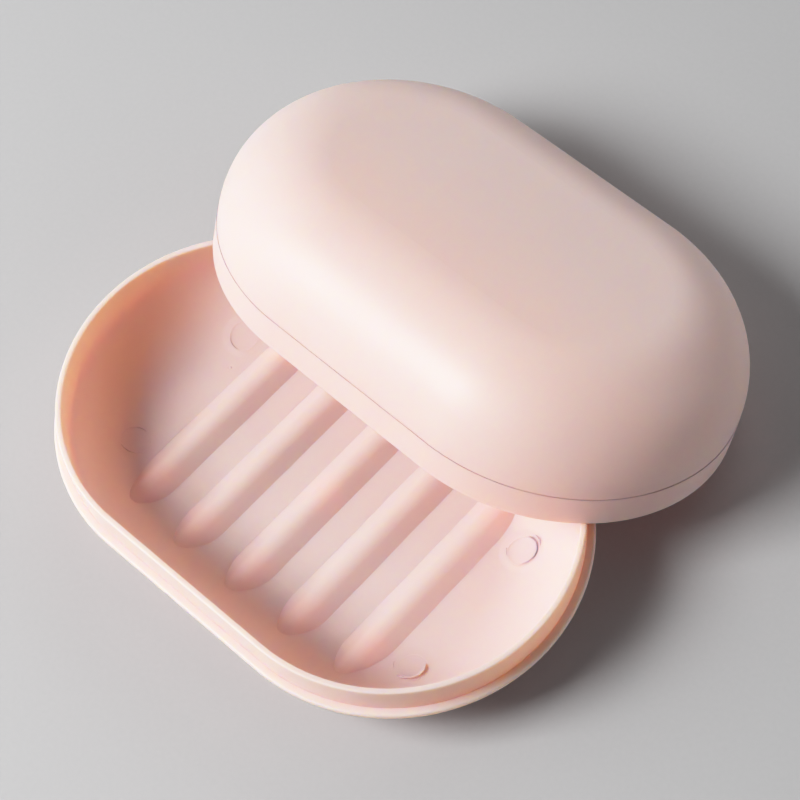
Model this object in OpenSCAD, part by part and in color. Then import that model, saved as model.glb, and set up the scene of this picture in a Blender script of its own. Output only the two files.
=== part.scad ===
// Travel soap box: a shallow tray with an upright lip, a ledge and five drain ridges, and a domed lid.
// Both shells are pebble outlines: two half circles joined by straight sides.
// Millimetres. The origin is the middle of the tray's underside, +Z is up, +X runs along the tray's length.
// The lid is drawn leaning: its far edge stands on the table and its rim rests on the tray's lip.

/* [Overall outline] */
// Length of the box over its widest outline
box_l = 120; // [90:0.5:160]
// Width of the box over its widest outline
box_w = 78.6; // [56:0.1:110]
// Wall and floor thickness of both shells
wall = 1.5; // [1:0.05:3]

/* [Tray] */
// Height of the tray from the table to the top of its lip
tray_h = 21.5; // [16:0.1:40]
// Height of the upright lip above the ledge
lip_h = 7.25; // [3:0.05:12]
// Thickness of the upright lip
lip_t = 1.25; // [0.8:0.05:2.5]
// Width of the ledge that the lid's rim sits on
ledge_w = 1.75; // [1.2:0.05:4]
// Thickness of the flange under the ledge
flange_t = 1.3; // [0.8:0.05:3]
// Radius of the bowl between the tray's wall and its floor
bowl_r = 16.3; // [6:0.1:19]
// Rounding of the lip's top edges
lip_edge = 0.35; // [0.1:0.05:0.6]

/* [Drain ridges] */
// Number of ridges across the floor
ridge_n = 5; // [1:1:7]
// Distance from one ridge to the next
ridge_pitch = 14.65; // [9:0.05:22]
// Width of a ridge at the floor
ridge_w = 8.9; // [4:0.05:12]
// Height of a ridge above the floor
ridge_h = 2.3; // [0.8:0.05:4]
// Radius of a ridge's crest, between its two straight flanks
crest_r = 3.5; // [1.8:0.05:4.4]
// Plastic left over the hollow under each ridge
ridge_skin = 1.5; // [1:0.05:1.7]
// Diameter of the flat gate pad in the middle of the underside
gate_d = 9; // [4:0.5:16]

/* [Ejector pin marks] */
// Distance of the marks from the middle along the length
pin_x = 39.2; // [20:0.1:48]
// Distance of the marks from the middle across the width
pin_y = 16.4; // [5:0.1:28]
// Diameter of a mark
pin_d = 6.2; // [3:0.1:10]
// Height of the thin flash around a mark
flash_h = 0.09; // [0.05:0.01:0.3]
// Thickness of that flash
flash_t = 0.16; // [0.08:0.01:0.3]
// Diameter of the small nib left on the floor
nib_d = 0.6; // [0.3:0.05:1.5]

/* [Lid] */
// Height of the lid's straight skirt up to the parting line
skirt_h = 6.9; // [3:0.05:14]
// Height of the lid from its rim to its crown
lid_h = 28.4; // [18:0.1:45]
// Radius of the lid's shoulder, which runs into a flat crown
shoulder_r = 20; // [8:0.1:21]
// Step inwards at the parting line above the skirt
seam_step = 0.12; // [0.04:0.01:0.5]
// Rounding of the lid's rim
rim_edge = 0.3; // [0.1:0.05:0.6]

/* [Leaning lid] */
// Middle of the lid's rim, along the tray's length
lean_x = 0.33; // [-20:0.01:20]
// Middle of the lid's rim, across the tray's width
lean_y = 45.92; // [30:0.01:60]
// Middle of the lid's rim, above the table
lean_z = 13.56; // [5:0.01:40]
// Lean of the lid about its long axis, in degrees
lean_a = 20.0; // [0:0.01:40]
// Turn of the lid about the vertical, in degrees
turn_a = -0.99; // [-20:0.01:20]

/* [Hidden] */
$fn = 120;
R = box_w / 2;                       // outer radius of the half-circle ends
A = (box_l - box_w) / 2;             // half length of the straight sides
r_in = R - ledge_w - lip_t;          // inside of the lip
r_lip = R - ledge_w;                 // outside of the lip
z_ledge = tray_h - lip_h;            // top of the ledge
z_fl = z_ledge - flange_t;           // underside of the flange
c_x = r_in - bowl_r;                 // centre of the bowl's arc
c_z = wall + bowl_r;
crest_z = wall + ridge_h - crest_r;  // centre of a ridge's crest
flank_a = atan2(crest_z - wall, ridge_w / 2)           // slope of a ridge's flanks
        + asin(crest_r / norm([crest_z - wall, ridge_w / 2]));
sh_x = R - seam_step - shoulder_r;   // centre of the shoulder's arc
sh_z = lid_h - shoulder_r;
nib_x = -36.4;                       // place of the nib on the floor
nib_y = 9.2;

// A solid with a pebble outline from a half profile: x is the distance from the middle line, y is the height.
module pebble() {
    for (s = [-1, 1])
        translate([s * A, 0, 0]) rotate([0, 0, -s * 90]) rotate_extrude(angle = 180) children();
    for (s = [0, 1])
        mirror([0, s, 0]) rotate([90, 0, 90]) translate([0, 0, -A]) linear_extrude(height = 2 * A) children();
}

// ---- tray profiles ----
module tray_outside() {
    // bowl below the flange
    intersection() {
        union() {
            translate([c_x, c_z]) circle(r = bowl_r + wall);
            square([c_x, c_z]);
        }
        square([R, z_fl]);
    }
    // flange with soft outer edges
    translate([0, z_fl]) square([R - 0.5, flange_t]);
    translate([0, z_fl + 0.4]) square([R, flange_t - 0.9]);
    translate([R - 0.5, z_ledge - 0.5]) circle(r = 0.5);
    translate([R - 0.4, z_fl + 0.4]) circle(r = 0.4);
    // upright lip
    translate([0, z_fl]) square([r_lip, tray_h - lip_edge - z_fl]);
    translate([0, z_fl]) square([r_lip - lip_edge, tray_h - z_fl]);
    translate([r_lip - lip_edge, tray_h - lip_edge]) circle(r = lip_edge);
}

// e is the distance in from the tray's inner skin.
module tray_inside(e = 0) {
    intersection() {
        translate([c_x, c_z]) circle(r = bowl_r - e);
        translate([c_x, 0]) square([bowl_r + 1, c_z]);
    }
    translate([0, wall + e]) square([c_x, tray_h + 1 - wall]);
    translate([0, c_z]) square([r_in - e, tray_h + 1 - c_z]);
    // soft inner edge at the top of the lip
    difference() {
        translate([r_in - 0.1, tray_h - lip_edge]) square([lip_edge + 0.1, lip_edge + 1]);
        translate([r_in + lip_edge, tray_h - lip_edge]) circle(r = lip_edge);
    }
}

// Half width, at height z, of a ridge's cross-section taken in by e.
function ridge_half(e, z) =
    (crest_r - e) * sin(flank_a) + (crest_z + (crest_r - e) * cos(flank_a) - z) / tan(flank_a);

// Cross-section of a ridge, taken in by e and drawn down to height z.
module ridge_profile(e, z) {
    f = ridge_half(e, z);
    t = crest_z + (crest_r - e) * cos(flank_a);
    polygon([[-f, z], [f, z], [ridge_half(e, t), t], [-ridge_half(e, t), t]]);
    intersection() {
        translate([0, crest_z]) circle(r = crest_r - e);
        translate([-crest_r, z]) square([2 * crest_r, crest_z + crest_r - z]);
    }
}

module ridges() {
    for (i = [0 : ridge_n - 1])
        translate([(i - (ridge_n - 1) / 2) * ridge_pitch, 0, 0])
            rotate([90, 0, 0]) linear_extrude(height = box_w, center = true) ridge_profile(0, wall - 0.8);
}

// Hollows under the ridges, with round ends.
module hollows() {
    for (i = [0 : ridge_n - 1]) {
        x = (i - (ridge_n - 1) / 2) * ridge_pitch;
        l = sqrt(c_x * c_x - pow(max(abs(x) - A, 0), 2)) - ridge_half(ridge_skin, 0);
        translate([x, 0, 0]) {
            rotate([90, 0, 0]) linear_extrude(height = 2 * l, center = true) ridge_profile(ridge_skin, -1);
            for (s = [-1, 1]) translate([0, s * l, 0]) rotate([0, 0, 90 * (1 - s)]) rotate_extrude(angle = 180)
                intersection() {
                    ridge_profile(ridge_skin, -1);
                    translate([0, -1]) square([ridge_w, ridge_h + 2]);
                }
        }
    }
}

// Thin flash that follows the bowl around each ejector pin.
module flash_rings() {
    difference() {
        for (sx = [-1, 1]) for (sy = [-1, 1]) translate([sx * pin_x, sy * pin_y, 0.9]) difference() {
            cylinder(d = pin_d, h = 4);
            translate([0, 0, -1]) cylinder(d = pin_d - 2 * flash_t, h = 6);
        }
        pebble() tray_inside(flash_h);
    }
}

module base_tray() {
    color([0.93, 0.78, 0.74]) {
        difference() {
            pebble() tray_outside();
            difference() {
                pebble() tray_inside();
                ridges();
            }
            difference() {
                hollows();
                cylinder(d = gate_d, h = wall + ridge_h);
            }
        }
        flash_rings();
        translate([nib_x, nib_y, wall]) sphere(d = nib_d);
    }
}

// ---- lid profiles: d is the distance in from the outer skin ----
module lid_profile(d, dip) {
    o = max(d - seam_step, 0);
    translate([0, -dip]) square([R - d, skirt_h + dip]);
    translate([0, skirt_h]) square([R - seam_step - o, sh_z - skirt_h]);
    intersection() {
        translate([sh_x, sh_z]) circle(r = shoulder_r - o);
        translate([sh_x, sh_z]) square(shoulder_r);
    }
    translate([0, skirt_h]) square([sh_x, lid_h - o - skirt_h]);
}

// Material cut away to round the rim's two edges.
module rim_rounding() {
    difference() {
        translate([R - rim_edge, -1]) square([1, rim_edge + 1]);
        translate([R - rim_edge, rim_edge]) circle(r = rim_edge);
    }
    difference() {
        translate([R - wall - 0.5, -1]) square([rim_edge + 0.5, rim_edge + 1]);
        translate([R - wall + rim_edge, rim_edge]) circle(r = rim_edge);
    }
}

module lid() {
    color([0.94, 0.80, 0.76])
        translate([lean_x, lean_y, lean_z]) rotate([0, 0, turn_a]) rotate([-lean_a, 0, 0])
            pebble() difference() {
                lid_profile(0, 0);
                lid_profile(wall, 1);
                rim_rounding();
            }
}

base_tray();
lid();
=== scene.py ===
import math
import random
import bmesh
import bpy
from mathutils import Matrix, Vector


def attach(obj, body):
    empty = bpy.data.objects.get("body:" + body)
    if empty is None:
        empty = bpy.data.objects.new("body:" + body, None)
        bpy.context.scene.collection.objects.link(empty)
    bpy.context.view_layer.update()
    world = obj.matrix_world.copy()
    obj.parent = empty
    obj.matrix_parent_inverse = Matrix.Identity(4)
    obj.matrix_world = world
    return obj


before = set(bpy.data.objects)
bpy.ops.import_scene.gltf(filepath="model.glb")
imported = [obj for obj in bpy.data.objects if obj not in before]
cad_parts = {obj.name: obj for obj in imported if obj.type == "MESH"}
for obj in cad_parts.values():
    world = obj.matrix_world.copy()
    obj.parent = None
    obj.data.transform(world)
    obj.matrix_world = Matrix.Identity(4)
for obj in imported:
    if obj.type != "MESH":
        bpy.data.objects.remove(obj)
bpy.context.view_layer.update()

scene = bpy.context.scene

# ---------------------------------------------------------------- camera
RIGHT = Vector((0.73878467, 0.67012917, -0.07158286))
UP = Vector((-0.56029465, 0.66975470, 0.48733823))
BACK = Vector((0.37452252, -0.31993052, 0.87027429))
POS = Vector((0.163178, -0.115663, 0.388421))
cam_data = bpy.data.cameras.new("camera")
cam_data.sensor_fit = "HORIZONTAL"
cam_data.sensor_width = 36.0
cam_data.lens = 95.39
cam_data.clip_start = 0.01
cam = bpy.data.objects.new("camera", cam_data)
scene.collection.objects.link(cam)
cam.matrix_world = Matrix((
    (RIGHT.x, UP.x, BACK.x, POS.x),
    (RIGHT.y, UP.y, BACK.y, POS.y),
    (RIGHT.z, UP.z, BACK.z, POS.z),
    (0, 0, 0, 1)))
scene.camera = cam

# ---------------------------------------------------------------- material helpers
def tree(name):
    m = bpy.data.materials.new(name)
    m.use_nodes = True
    nt = m.node_tree
    nt.nodes.clear()
    out = nt.nodes.new("ShaderNodeOutputMaterial")
    sh = nt.nodes.new("ShaderNodeBsdfPrincipled")
    nt.links.new(sh.outputs["BSDF"], out.inputs["Surface"])
    return m, nt, sh


def noise(nt, vec, scale, detail=2.0, rough=0.5, distortion=0.0):
    n = nt.nodes.new("ShaderNodeTexNoise")
    n.inputs["Scale"].default_value = scale
    n.inputs["Detail"].default_value = detail
    n.inputs["Roughness"].default_value = rough
    n.inputs["Distortion"].default_value = distortion
    nt.links.new(vec, n.inputs["Vector"])
    return n.outputs["Fac"]


def ramp(nt, fac, lo, hi, a, b):
    """Map fac from lo..hi to a..b."""
    n = nt.nodes.new("ShaderNodeMapRange")
    n.inputs["From Min"].default_value = lo
    n.inputs["From Max"].default_value = hi
    n.inputs["To Min"].default_value = a
    n.inputs["To Max"].default_value = b
    nt.links.new(fac, n.inputs["Value"])
    return n.outputs["Result"]


def swell(nt, centre, inner, outer):
    """0..1 mound round a pin mark: 1 at its rim, 0 outside it and 0 inside, in object metres."""
    N, L = nt.nodes, nt.links
    geo = N.new("ShaderNodeTexCoord").outputs["Object"]
    d = N.new("ShaderNodeVectorMath"); d.operation = "DISTANCE"
    L.new(geo, d.inputs[0])
    d.inputs[1].default_value = centre
    up = N.new("ShaderNodeMapRange"); up.interpolation_type = "SMOOTHSTEP"
    up.inputs["From Min"].default_value = outer
    up.inputs["From Max"].default_value = inner
    L.new(d.outputs["Value"], up.inputs["Value"])
    return up.outputs["Result"]


def plastic(name, base, drift, mounds=()):
    """Translucent satin polypropylene: pigment drift, flow patches in the gloss, fine moulded grain."""
    m, nt, sh = tree(name)
    N, L = nt.nodes, nt.links
    vec = N.new("ShaderNodeTexCoord").outputs["Object"]
    # pigment: slow cloudy drift
    r1 = N.new("ShaderNodeValToRGB")
    r1.color_ramp.elements[0].position = 0.30
    r1.color_ramp.elements[0].color = (*[c * (1 - d) for c, d in zip(base, drift)], 1)
    r1.color_ramp.elements[1].position = 0.70
    r1.color_ramp.elements[1].color = (*base, 1)
    L.new(noise(nt, vec, 28.0, 3.0), r1.inputs["Fac"])
    L.new(r1.outputs["Color"], sh.inputs["Base Color"])
    # gloss: satin, with faint flow patches and a fine speckle
    mix = N.new("ShaderNodeMath"); mix.operation = "ADD"
    L.new(ramp(nt, noise(nt, vec, 70.0, 4.0, 0.55, 0.6), 0.3, 0.7, 0.43, 0.51), mix.inputs[0])
    L.new(ramp(nt, noise(nt, vec, 1500.0, 2.0), 0.3, 0.7, -0.03, 0.03), mix.inputs[1])
    # edges rubbed a little smoother than the faces
    bev = N.new("ShaderNodeBevel"); bev.samples = 3
    bev.inputs["Radius"].default_value = 0.00025
    dot = N.new("ShaderNodeVectorMath"); dot.operation = "DOT_PRODUCT"
    L.new(bev.outputs["Normal"], dot.inputs[0])
    L.new(N.new("ShaderNodeNewGeometry").outputs["Normal"], dot.inputs[1])
    rub = N.new("ShaderNodeMath"); rub.operation = "ADD"
    L.new(mix.outputs[0], rub.inputs[0])
    L.new(ramp(nt, dot.outputs["Value"], 0.80, 0.99, -0.07, 0.0), rub.inputs[1])
    L.new(rub.outputs[0], sh.inputs["Roughness"])
    # grain of the mould, and a very soft waviness of the skin
    b1 = N.new("ShaderNodeBump")
    b1.inputs["Strength"].default_value = 0.25
    b1.inputs["Distance"].default_value = 0.00012
    L.new(noise(nt, vec, 140.0, 2.0), b1.inputs["Height"])
    b2 = N.new("ShaderNodeBump")
    b2.inputs["Strength"].default_value = 0.18
    b2.inputs["Distance"].default_value = 0.00003
    L.new(noise(nt, vec, 2600.0, 3.0, 0.6), b2.inputs["Height"])
    L.new(b1.outputs["Normal"], b2.inputs["Normal"])
    prev = b1.outputs["Normal"]
    for centre, rise in mounds:
        b = N.new("ShaderNodeBump")
        b.inputs["Strength"].default_value = 1.0
        b.inputs["Distance"].default_value = rise
        L.new(swell(nt, centre, 0.0031, 0.0050), b.inputs["Height"])
        L.new(prev, b.inputs["Normal"])
        prev = b.outputs["Normal"]
    L.new(prev, b2.inputs["Normal"])
    L.new(b2.outputs["Normal"], sh.inputs["Normal"])
    sh.inputs["Subsurface Weight"].default_value = 1.0
    sh.inputs["Subsurface Radius"].default_value = (1.0, 0.72, 0.32)
    sh.inputs["Subsurface Scale"].default_value = 0.0042
    sh.inputs["IOR"].default_value = 1.49
    return m


def bowl(x, y):
    """Height of the tray's inner skin, in metres."""
    d = math.hypot(max(abs(x) - 0.0207, 0.0), y)
    return 0.0015 if d <= 0.020 else 0.0178 - math.sqrt(0.0163 ** 2 - (d - 0.020) ** 2)


PIN = (0.0392, 0.0164)
PINS = {"near_left": (-PIN[0], -PIN[1]), "far_left": (-PIN[0], PIN[1]),
        "near_right": (PIN[0], -PIN[1]), "far_right": (PIN[0], PIN[1])}


def at_pin(name):
    x, y = PINS[name]
    return (x, y, bowl(x, y))


TRAY = plastic("tray_pp", (0.968, 0.628, 0.598), (0.0, 0.012, 0.015),
               [(at_pin("far_right"), 0.00016), (at_pin("far_left"), 0.00016),
                (at_pin("near_left"), 0.00006), (at_pin("near_right"), 0.00006)])
LID = plastic("lid_pp", (0.968, 0.628, 0.598), (0.0, 0.012, 0.015))


def dress(node, mat):
    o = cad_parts[node]
    for s in o.material_slots:
        s.material = mat
    return o


tray = dress("base_tray", TRAY)
lid = dress("lid", LID)

# ---------------------------------------------------------------- torn flash round the ejector pins
rng = random.Random(7)


def flash(name, pin, a0, a1, height, lean=0.0, thick=0.00016, peak=0.5, radius=0.00302, ragged=0.12, off=(0.0, 0.0)):
    """A thin sliver standing on the bowl along an arc, from azimuth a0 to a1, tallest at the part peak of its length."""
    cx, cy = PINS[pin][0] + off[0], PINS[pin][1] + off[1]
    n = max(12, int(abs(a1 - a0) / 2.2))
    waves = [(rng.uniform(4, 16), rng.uniform(0, 6.28), rng.uniform(0.3, 1)) for _ in range(5)]
    levels = (0.0, 0.35, 0.7, 1.0)
    verts, faces = [], []
    for i in range(n + 1):
        t = i / n
        a = math.radians(a0 + (a1 - a0) * t)
        u = t / peak * 0.5 if t < peak else 0.5 + (t - peak) / (1 - peak) * 0.5
        rag = sum(w * math.sin(f * t + p) for f, p, w in waves) / 2.5
        h = height * max(0.04, math.sin(math.pi * u) ** 0.6 * (1 + ragged * rag))
        for side in (-1, 1):
            for k in levels:
                th = thick * (1 - 0.55 * k) * 0.5
                r = radius + lean * (h / height) * k ** 1.6 + side * th
                x, y = cx + r * math.cos(a), cy + r * math.sin(a)
                z = bowl(cx + radius * math.cos(a), cy + radius * math.sin(a))
                verts.append((x, y, z - 0.00025 if k == 0.0 else z + h * k))
    m = len(levels)
    w = 2 * m
    loop = list(range(m)) + list(range(2 * m - 1, m - 1, -1))
    for i in range(n):
        for j in range(w):
            p, q = loop[j], loop[(j + 1) % w]
            faces.append((i * w + p, (i + 1) * w + p, (i + 1) * w + q, i * w + q))
    faces.append(tuple(loop))
    faces.append(tuple(n * w + v for v in reversed(loop)))
    me = bpy.data.meshes.new(name)
    me.from_pydata(verts, [], faces)
    me.validate()
    me.update()
    bm = bmesh.new()
    bm.from_mesh(me)
    bmesh.ops.recalc_face_normals(bm, faces=bm.faces)
    bm.to_mesh(me)
    bm.free()
    for f in me.polygons:
        f.use_smooth = len(f.vertices) == 4
    o = bpy.data.objects.new(name, me)
    scene.collection.objects.link(o)
    me.materials.append(TRAY)
    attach(o, "tray")
    return o


R3 = dict(off=(-0.00035, 0.00015))
R4 = dict(off=(-0.00060, 0.00030))
R4_TALL = dict(off=(-0.00112, -0.00015))
flash("flash_far_right", "far_right", -46, 100, 0.00027, 0.00030, peak=0.58, thick=0.00016, **R3)
flash("flash_far_right_flap", "far_right", 46, 84, 0.00024, 0.00016, radius=0.00385, thick=0.00012, ragged=0.3, **R3)
flash("flash_far_right_back", "far_right", 206, 236, 0.00022, radius=0.00315, **R3)
flash("flash_near_right", "near_right", -92, 44, 0.00110, 0.00012, peak=0.60, thick=0.00018, radius=0.00330, **R4_TALL)
flash("flash_near_right_inner", "near_right", -90, -44, 0.00028, 0.0, radius=0.00305, thick=0.00010, **R4)
flash("flash_near_right_back", "near_right", 208, 232, 0.00020, radius=0.00365, **R4)
flash("flash_far_left", "far_left", 212, 292, 0.00018, 0.00004)
flash("flash_near_left_top", "near_left", 76, 150, 0.00018, 0.00004)
flash("flash_near_left_low", "near_left", 248, 302, 0.00032, 0.00006)

# ---------------------------------------------------------------- witness line of the lid's parting line
def seam_bead():
    """A hair of flash standing in the step above the lid's skirt, uneven in height round the outline."""
    half, r_out, r_in, z0 = 0.0207, 0.03930, 0.03910, 0.0069
    place = (Matrix.Translation((0.00033, 0.04592, 0.01356)) @ Matrix.Rotation(math.radians(-0.99), 4, "Z")
             @ Matrix.Rotation(math.radians(-20.0), 4, "X"))
    waves = [(k, rng.uniform(0, 6.28), rng.uniform(0.4, 1)) for k in (2, 3, 5, 9, 17, 41, 83)]
    n_arc, n_side = 220, 120
    path = [(half, math.radians(-90 + 180 * i / n_arc)) for i in range(n_arc)]
    path += [(half - 2 * half * i / n_side, math.radians(90)) for i in range(n_side)]
    path += [(-half, math.radians(90 + 180 * i / n_arc)) for i in range(n_arc)]
    path += [(-half + 2 * half * i / n_side, math.radians(-90)) for i in range(n_side)]
    verts, faces = [], []
    n = len(path)
    for i, (cx, a) in enumerate(path):
        t = 2 * math.pi * i / n
        rag = sum(w * math.sin(k * t + p) for k, p, w in waves) / 3.0
        h = max(0.000015, 0.000045 + 0.000030 * rag)
        for r, z in ((r_out - 0.00002, -0.00005), (r_out - 0.00003, h), (r_out - 0.00009, h * 0.9), (r_in, -0.00005)):
            verts.append(place @ Vector((cx + r * math.cos(a), r * math.sin(a), z0 + z)))
    for i in range(n):
        k = (i + 1) % n
        for j in range(4):
            q = (j + 1) % 4
            faces.append((i * 4 + j, k * 4 + j, k * 4 + q, i * 4 + q))
    me = bpy.data.meshes.new("seam_flash")
    me.from_pydata(verts, [], faces)
    me.validate()
    me.update()
    bm = bmesh.new()
    bm.from_mesh(me)
    bmesh.ops.recalc_face_normals(bm, faces=bm.faces)
    bm.to_mesh(me)
    bm.free()
    o = bpy.data.objects.new("seam_flash", me)
    scene.collection.objects.link(o)
    me.materials.append(LID)
    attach(o, "lid")
    return o


seam_bead()

# ---------------------------------------------------------------- floor
def floor():
    me = bpy.data.meshes.new("floor")
    s = 3.0
    me.from_pydata([(-s, -s, 0), (s, -s, 0), (s, s, 0), (-s, s, 0)], [], [(0, 1, 2, 3)])
    o = bpy.data.objects.new("floor", me)
    scene.collection.objects.link(o)
    m, nt, sh = tree("floor_paper")
    vec = nt.nodes.new("ShaderNodeTexCoord").outputs["Object"]
    r = nt.nodes.new("ShaderNodeValToRGB")
    r.color_ramp.elements[0].color = (0.465, 0.465, 0.469, 1)
    r.color_ramp.elements[1].color = (0.490, 0.490, 0.494, 1)
    nt.links.new(noise(nt, vec, 900.0, 3.0), r.inputs["Fac"])
    nt.links.new(r.outputs["Color"], sh.inputs["Base Color"])
    sh.inputs["Roughness"].default_value = 0.85
    sh.inputs["Specular IOR Level"].default_value = 0.2
    me.materials.append(m)
    return o


floor()

# ---------------------------------------------------------------- light
AIM = Vector((0.0, 0.022, 0.018))


def softbox(name, azimuth, elevation, distance, spread, level, colour=(1, 1, 1)):
    """A square softbox. spread is its angular size in degrees, level the brightness of a white card facing it."""
    a, e = math.radians(azimuth), math.radians(elevation)
    v = Vector((math.cos(a) * math.cos(e), math.sin(a) * math.cos(e), math.sin(e)))
    d = bpy.data.lights.new(name, "AREA")
    d.shape = "SQUARE"
    d.size = 2 * distance * math.tan(math.radians(spread / 2))
    d.energy = math.pi ** 2 * distance ** 2 * level
    d.color = colour
    o = bpy.data.objects.new(name, d)
    scene.collection.objects.link(o)
    o.location = AIM + v * distance
    o.rotation_euler = v.to_track_quat("Z", "Y").to_euler()
    return o


softbox("key", 239, 43.5, 0.9, 24, 1.27)
softbox("key_low", 226, 22, 1.1, 28, 0.275)
softbox("back", 108, 27, 1.2, 50, 0.285)
softbox("right", 34, 19, 1.2, 40, 0.245)
softbox("left", 186, 36, 1.2, 45, 0.102)
softbox("top", 60, 84, 1.3, 50, 0.05)

w = bpy.data.worlds.new("studio")
w.use_nodes = True
w.node_tree.nodes["Background"].inputs["Color"].default_value = (1, 1, 1, 1)
w.node_tree.nodes["Background"].inputs["Strength"].default_value = 0.008
scene.world = w

# ---------------------------------------------------------------- tone
def photographic(x, contrast=1.16, white=1.05):
    """A print's response: a little contrast and a soft shoulder."""
    y = 0.5 * (x / 0.5) ** contrast
    return y / (1 + (y / white) ** 3) ** (1 / 3)


vs = scene.view_settings
vs.view_transform = "Standard"
vs.look = "None"
vs.exposure = 0.0
vs.gamma = 1.0
vs.use_curve_mapping = True
cm = vs.curve_mapping
cm.white_level = (2.0, 2.0, 2.0)
cm.extend = "HORIZONTAL"
curve = cm.curves[3]
curve.points[0].location = (0.0, 0.0)
curve.points[-1].location = (1.0, photographic(2.0))
for t in (0.02, 0.05, 0.1, 0.16, 0.23, 0.3, 0.38, 0.46, 0.55, 0.65, 0.8):
    curve.points.new(t, photographic(2.0 * t))
cm.update()

bpy.context.view_layer.update()
